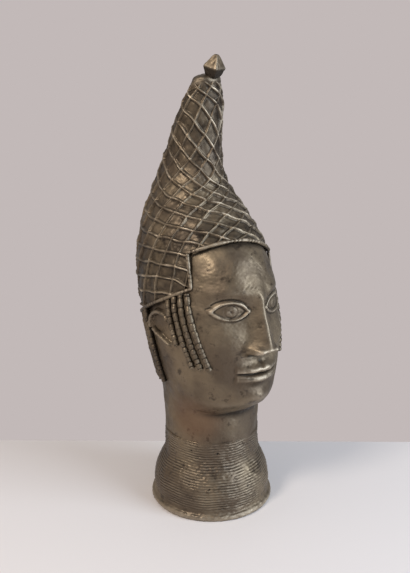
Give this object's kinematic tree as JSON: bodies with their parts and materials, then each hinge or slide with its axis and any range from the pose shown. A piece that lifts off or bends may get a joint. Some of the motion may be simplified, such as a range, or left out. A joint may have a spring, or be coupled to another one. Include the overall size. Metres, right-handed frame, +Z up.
{
  "type": "cast bronze head",
  "caption": "Cast bronze head in the West African court tradition, with a ringed collar, beaded strands, a tall netted cap and a faceted finial.",
  "frame": {"origin": "centre of the foot's flat underside", "axes": "+Z up through the cap's tip, -Y the way the face looks, +X the head's own left"},
  "size_m": [0.1524, 0.1986, 0.5],
  "materials": {
    "bronze": "aged cast bronze, dark in the hollows and worn brighter on the ridges"
  },
  "bodies": {
    "root": {"bronze_head": "bronze"}
  },
  "joints": []
}
